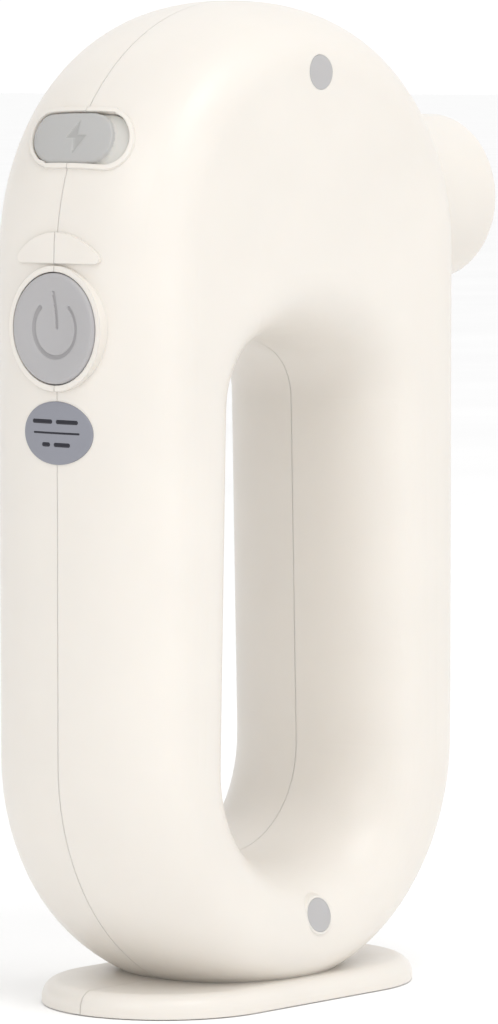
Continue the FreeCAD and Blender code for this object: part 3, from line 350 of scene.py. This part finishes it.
def power_button():
    """Dished cap with the engraved sign, its skirt and flange, and the post behind it."""
    low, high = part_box("power_button")
    flange = (high.z - low.z) / 2
    radius = flange - 1.1 * MM
    centre = Vector((low.x, 0, (low.z + high.z) / 2))
    dish, depth = 1.25 * MM, 0.32 * MM
    lip, lip_drop = 1.0 * MM, 0.9 * MM
    flange_front, back = 6.7 * MM, 7.9 * MM
    inner, inner_face, post = radius - 2 * MM, 3.0 * MM, 1.5 * MM
    flat = radius - lip
    profile = []
    rings, lip_steps = 84, 8
    for i in range(rings + 1):
        r = flat * i / rings
        profile.append((dish * (1 - smooth(r, 0.1 * flat, flat)), r, True))
    for i in range(1, lip_steps + 1):
        turn = math.pi / 2 * i / lip_steps
        profile.append((lip_drop * (1 - math.cos(turn)) ** 1.2, flat + lip * math.sin(turn)))
    profile += [
        (1.6 * MM, radius), (flange_front, radius), (flange_front, flange), (back, flange),
        (back, inner), (inner_face, inner), (inner_face, post),
        (high.x - low.x, post), (high.x - low.x, 0.0),
    ]

    def engraved(y, z):
        return depth * (1 - smooth(power_symbol(y, z), -0.12, 0.14))

    loops = lathe(profile, centre, 288, engraved)
    points, faces = loops_mesh(loops)
    cap = mesh_object(
        "power_button_cap", points, faces, [MATERIALS["soft_grey"], SIGN_GROOVE_PAINTED_SHADE],
        "power_button", ["power_button"],
    )
    # Faces inside the engraved sign take the darker grey: painted shade in the engraving.
    for polygon in cap.data.polygons:
        middle = polygon.center - centre
        if middle.x < dish + depth + 0.1 * MM and power_symbol(middle.y, middle.z) < 0.02:
            polygon.material_index = 1
    return cap


# ---------------------------------------------------------------- silicone cover of the charging port

BOLT = [(3.7, 0.42), (-0.3, 2.56), (-0.3, 0.32), (-3.7, -0.42), (0.3, -2.56), (0.3, -0.32)]


def bolt_distance(up, y):
    """Signed distance in mm to the bolt's outline, below zero inside."""
    here = Vector((up / MM, y / MM))
    nearest, inside = 1e9, False
    for (ax, ay), (bx, by) in zip(BOLT, BOLT[1:] + BOLT[:1]):
        a, b = Vector((ax, ay)), Vector((bx, by))
        along = b - a
        t = max(0.0, min(1.0, (here - a).dot(along) / along.length_squared))
        nearest = min(nearest, (here - a - along * t).length)
        if (ay > here.y) != (by > here.y) and here.x < (bx - ax) * (here.y - ay) / (by - ay) + ax:
            inside = not inside
    return -nearest if inside else nearest


def port_cover():
    """Silicone cover with a pressed-in bolt and a lower finger ledge at its -Y end. The bolt is
    coloured darker as painted shade, and the ledge is coloured paler as painted light.
    """
    radius = 5.57 * MM
    near_y, far_y, step_y = -12.86 * MM, 12.86 * MM, -9.4 * MM
    proud, floor, ledge = 0.35 * MM, 47.55 * MM, 1.0 * MM
    arc, side = 40, 50
    far_middle, near_middle = far_y - radius, near_y + radius
    outline = []
    for i in range(arc):
        turn = math.pi * i / arc
        outline.append((far_middle, math.cos(turn), math.sin(turn), PORT_LEAN_FAR))
    for i in range(side):
        t = i / side
        middle = far_middle + (near_middle - far_middle) * t
        outline.append((middle, -1.0, 0.0, PORT_LEAN_FAR + (PORT_LEAN_NEAR - PORT_LEAN_FAR) * t))
    for i in range(arc):
        turn = math.pi + math.pi * i / arc
        outline.append((near_middle, math.cos(turn), math.sin(turn), PORT_LEAN_NEAR))
    for i in range(side):
        t = i / side
        middle = near_middle + (far_middle - near_middle) * t
        outline.append((middle, 1.0, 0.0, PORT_LEAN_NEAR + (PORT_LEAN_FAR - PORT_LEAN_NEAR) * t))

    def on_ledge(up, y):
        """0 on the raised part, 1 on the finger ledge."""
        past = y - PORT_LEAN_NEAR * up - (step_y + radius)
        if past >= 0:
            return 0.0
        return smooth(math.hypot(up, past) - radius, -0.45 * MM, 0.15 * MM)

    def loop(share, drop, at_floor=None):
        points = []
        for middle, up_part, y_part, lean in outline:
            up = radius * share * up_part
            y = middle + radius * share * y_part + lean * up
            reach = at_floor
            if at_floor is None:
                low = on_ledge(up, y)
                reach = math.sqrt((rim_radius(y) + proud - drop * (1 - 0.6 * low)) ** 2 - up**2)
                reach -= ledge * low + 0.22 * MM * (1 - smooth(bolt_distance(up, y), -0.22, 0.2))
            points.append(port_point(up, y, reach))
        return points

    loops = []
    rings = 44
    edge = 1 - 0.85 * MM / radius
    for i in range(rings + 1):
        loops.append(loop(edge * i / rings, 0.1 * MM * (i / rings) ** 3))
    for i in range(1, 8):
        turn = math.pi / 2 * i / 7
        drop = 0.1 * MM + 0.6 * MM * (1 - math.cos(turn))
        loops.append(loop(edge + (1 - edge) * math.sin(turn), drop))
    loops += [loop(1.0, 0, floor), loop(0.6, 0, floor), loop(0.0, 0, floor)]
    points, faces = loops_mesh(loops)
    fold, half_slit = 11.7 * MM, 0.03 * MM
    skins = [MATERIALS["cover_grey"], BOLT_GROOVE_PAINTED_SHADE, COVER_LEDGE_PAINTED_LIGHT]
    for name, body, node, side_of_fold in (
        ("port_cover_skin", "port_cover", "port_cover", -1),
        ("port_cover_root", "casing", "port_cover_anchor", 1),
    ):
        piece = mesh_object(name, points, faces, skins, body, [node])
        built = bmesh.new()
        built.from_mesh(piece.data)
        cut = bmesh.ops.bisect_plane(
            built, geom=built.verts[:] + built.edges[:] + built.faces[:], dist=1e-7,
            plane_co=(0, fold + half_slit * side_of_fold, 0), plane_no=(0, side_of_fold, 0),
            clear_inner=True,
        )
        rim = [e for e in cut["geom_cut"] if isinstance(e, bmesh.types.BMEdge)]
        bmesh.ops.holes_fill(built, edges=rim, sides=0)
        bmesh.ops.recalc_face_normals(built, faces=built.faces)
        built.to_mesh(piece.data)
        built.free()
        out = port_point(0, 0, 1) - port_point(0, 0, 0)
        along = port_point(1, 0, 0) - port_point(0, 0, 0)
        for polygon in piece.data.polygons:
            polygon.use_smooth = True
            here = polygon.center - port_point(0, 0, 0)
            up, reach = here.dot(along), here.dot(out)
            # Faces on the finger ledge take the paler grey: painted light on the ledge.
            if reach > floor + 0.1 * MM and on_ledge(up, here.y) > 0.6:
                polygon.material_index = 2
            # Faces inside the pressed-in bolt take the darker grey: painted shade in the recess.
            elif reach > floor + 0.5 * MM and bolt_distance(up, here.y) < 0.0:
                polygon.material_index = 1


# ---------------------------------------------------------------- oval label


def label():
    """Thin oval film on the rim, printed with a line and plain bars in place of words."""
    low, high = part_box("rim_label")
    middle = (low.z + high.z) / 2
    half_y, half_z = high.y, (high.z - low.z) / 2
    film, ink_proud, ink_sunk = 0.22 * MM, 0.015 * MM, 0.01 * MM
    turns, rings, under_rings = 160, 14, 6
    flat_share = 0.985

    def loop(share, proud):
        points = []
        for k in range(turns):
            angle = 2 * math.pi * k / turns
            y, z = half_y * share * math.cos(angle), half_z * share * math.sin(angle)
            points.append(on_rim(y, middle + z, proud))
        return points

    loops = [loop(i / rings * flat_share, film) for i in range(rings + 1)]
    loops += [loop(0.995, film * 0.85), loop(1.0, film * 0.4), loop(1.0, 0.0)]
    loops += [loop(1 - i / under_rings, 0.0) for i in range(1, under_rings + 1)]
    points, faces = loops_mesh(loops)
    mesh_object("rim_label_film", points, faces, [MATERIALS["label"]], "casing", ["rim_label"])

    def print_on(name, shape_loops):
        """Ink a hair above the film: loops of (y, z) in mm from the label's middle, outer one first."""
        skins = []
        for proud in (film + ink_proud, film - ink_sunk):
            skins.append([
                [on_rim(y * MM, middle + z * MM, proud) for y, z in shape] for shape in shape_loops
            ])
        top, under = skins
        points, faces = loops_mesh(top + under[::-1] + top[:1])
        mesh_object(name, points, faces, [INK], "casing")

    def bar(low_y, high_y, z, half):
        """A bar with round ends: its outline, then smaller ones down to the line along its middle."""
        count, side = 12, 36
        first, last = low_y + half, high_y - half
        edge = []
        for middle, start in ((last, -0.5), (first, 0.5)):
            for k in range(count + 1):
                turn = math.pi * (start + k / count)
                edge.append((middle, half * math.cos(turn), half * math.sin(turn)))
            step = (first - last) / side * (1 if middle == last else -1)
            up = half if middle == last else -half
            edge += [(middle + step * k, 0.0, up) for k in range(1, side)]
        shares = (1.0, 0.5, 0.001)
        return [[(at + share * y, z + share * up) for at, y, up in edge] for share in shares]

    line_half, word_half = 0.2, 0.42
    print_on("label_line", bar(-6.0, 6.3, 0.0, line_half))
    words = ((1.1, 6.6, 2.2), (-5.6, 0.1, 2.2), (1.7, 3.9, -2.3), (-3.6, 0.7, -2.3))
    for number, (low_y, high_y, z) in enumerate(words, start=1):
        print_on(f"label_bar_{number}", bar(low_y, high_y, z, word_half))


# ---------------------------------------------------------------- massage head


def massage_head():
    """Hollow cylinder with a flat outer face and a shallow ring groove in it."""
    low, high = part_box("massage_head")
    radius = (high.z - low.z) / 2
    centre = Vector((high.x, 0, (low.z + high.z) / 2))
    length = high.x - low.x
    groove, inside, face_back = -0.3 * MM, radius - 2.4 * MM, -4.0 * MM
    corners = [
        (0.0, 0.0, 0), (0.0, radius - 3.4 * MM, 0.12 * MM), (groove, radius - 3.35 * MM, 0.08 * MM),
        (groove, radius - 3.05 * MM, 0.08 * MM), (0.0, radius - 3.0 * MM, 0.12 * MM),
        (-0.05 * MM, radius, 1.7 * MM), (-length, radius, 0.5 * MM), (-length, inside, 0.4 * MM),
        (face_back, inside, 1.0 * MM), (face_back, 0.0, 0),
    ]
    line = rounded_line(corners, 8)
    profile = [(0.0, line[1][1] * i / 6) for i in range(6)] + [tuple(p) for p in line[1:]]
    loops = lathe(profile, centre, 192)
    points, faces = loops_mesh(loops)
    skin = [MATERIALS["casing"]]
    mesh_object("massage_head_shell", points, faces, skin, "massage_head", ["massage_head"])


power_button()
port_cover()
label()
massage_head()

# ---------------------------------------------------------------- studio


def camera():
    data = bpy.data.cameras.new("camera")
    data.sensor_width = 36.0
    data.lens = 201.2
    cam = bpy.data.objects.new("camera", data)
    bpy.context.scene.collection.objects.link(cam)
    azimuth, pitch, turn = math.radians(-48.193), math.radians(4.374), math.radians(0.2)
    distance, height = 1.15144, 0.18528
    back = Vector((math.sin(azimuth), -math.cos(azimuth), 0.0))
    right = Vector((-back.y, back.x, 0.0))
    cam.location = back * distance + Vector((0.0, 0.0, height))
    forward = (right * math.sin(turn) - back * math.cos(turn)) * math.cos(pitch)
    forward.z = -math.sin(pitch)
    cam.rotation_mode = "QUATERNION"
    cam.rotation_quaternion = forward.to_track_quat("-Z", "Y")
    bpy.context.scene.camera = cam


def area_light(name, place, aim, width, height, power):
    data = bpy.data.lights.new(name, "AREA")
    data.shape = "RECTANGLE"
    data.size, data.size_y = width, height
    data.energy = power
    data.color = (1, 1, 1)
    light = bpy.data.objects.new(name, data)
    bpy.context.scene.collection.objects.link(light)
    light.location = place
    light.rotation_mode = "QUATERNION"
    light.rotation_quaternion = (Vector(aim) - Vector(place)).to_track_quat("-Z", "Y")


SKY_STRENGTH = 1.05
DIM_SIDE = (-0.5, 0.866, 0.0)  # the side on which the sky is dimmer
DIM_LEVEL = 0.3


def sky():
    """A pale sky, dimmer on one side, and pale all round near the horizon."""
    world = bpy.data.worlds.new("studio")
    bpy.context.scene.world = world
    world.use_nodes = True
    tree = world.node_tree
    tree.nodes["Background"].inputs["Strength"].default_value = SKY_STRENGTH
    place = tree.nodes.new("ShaderNodeTexCoord")
    facing = tree.nodes.new("ShaderNodeVectorMath")
    facing.operation = "DOT_PRODUCT"
    facing.inputs[1].default_value = DIM_SIDE
    direction = tree.nodes.new("ShaderNodeSeparateXYZ")
    tree.links.new(place.outputs["Generated"], facing.inputs[0])
    tree.links.new(place.outputs["Generated"], direction.inputs[0])

    def ramp(source, start, end, first, last):
        node = tree.nodes.new("ShaderNodeMapRange")
        node.interpolation_type = "SMOOTHSTEP"
        node.inputs["From Min"].default_value = start
        node.inputs["From Max"].default_value = end
        node.inputs["To Min"].default_value = first
        node.inputs["To Max"].default_value = last
        tree.links.new(source, node.inputs["Value"])
        return node.outputs["Result"]

    dimmed = tree.nodes.new("ShaderNodeMath")
    dimmed.operation = "MULTIPLY"
    tree.links.new(ramp(facing.outputs["Value"], 0.45, 0.9, 0.0, 1.0), dimmed.inputs[0])
    tree.links.new(ramp(direction.outputs["Z"], 0.08, 0.3, 0.0, 1.0), dimmed.inputs[1])
    shade = ramp(dimmed.outputs["Value"], 0.0, 1.0, 1.0, DIM_LEVEL)
    tree.links.new(shade, tree.nodes["Background"].inputs["Color"])


def pale_floor(half_width=40):
    mesh = bpy.data.meshes.new("floor")
    corners = [(-1, -1), (1, -1), (1, 1), (-1, 1)]
    mesh.from_pydata([(half_width * x, half_width * y, 0) for x, y in corners], [], [(0, 1, 2, 3)])
    floor = bpy.data.objects.new("floor", mesh)
    bpy.context.scene.collection.objects.link(floor)
    n = Nodes("floor_white")
    shades = n.blend(n.noise(6.0), (0.97, 0.97, 0.97), (1.0, 1.0, 1.0))
    n.link(shades, n.shader.inputs["Base Color"])
    n.shader.inputs["Roughness"].default_value = 0.9
    n.shader.inputs["Specular IOR Level"].default_value = 0.0
    mesh.materials.append(n.material)


def studio():
    sky()
    bpy.context.scene.view_settings.view_transform = "Standard"
    pale_floor()
    for name, place, aim, width, height, power in (
        ("key", (-0.25, -0.75, 1.3), (0, 0, 0.1), 0.6, 0.6, 4.0),
        ("fill_low", (-0.35, -0.95, 0.12), (0, 0, 0.12), 0.7, 0.2, 0.35),
        ("side", (-1.1, -0.2, 0.85), (0, 0, 0.1), 0.5, 0.5, 1.7),
    ):
        area_light(name, place, aim, width, height, power)


camera()
studio()
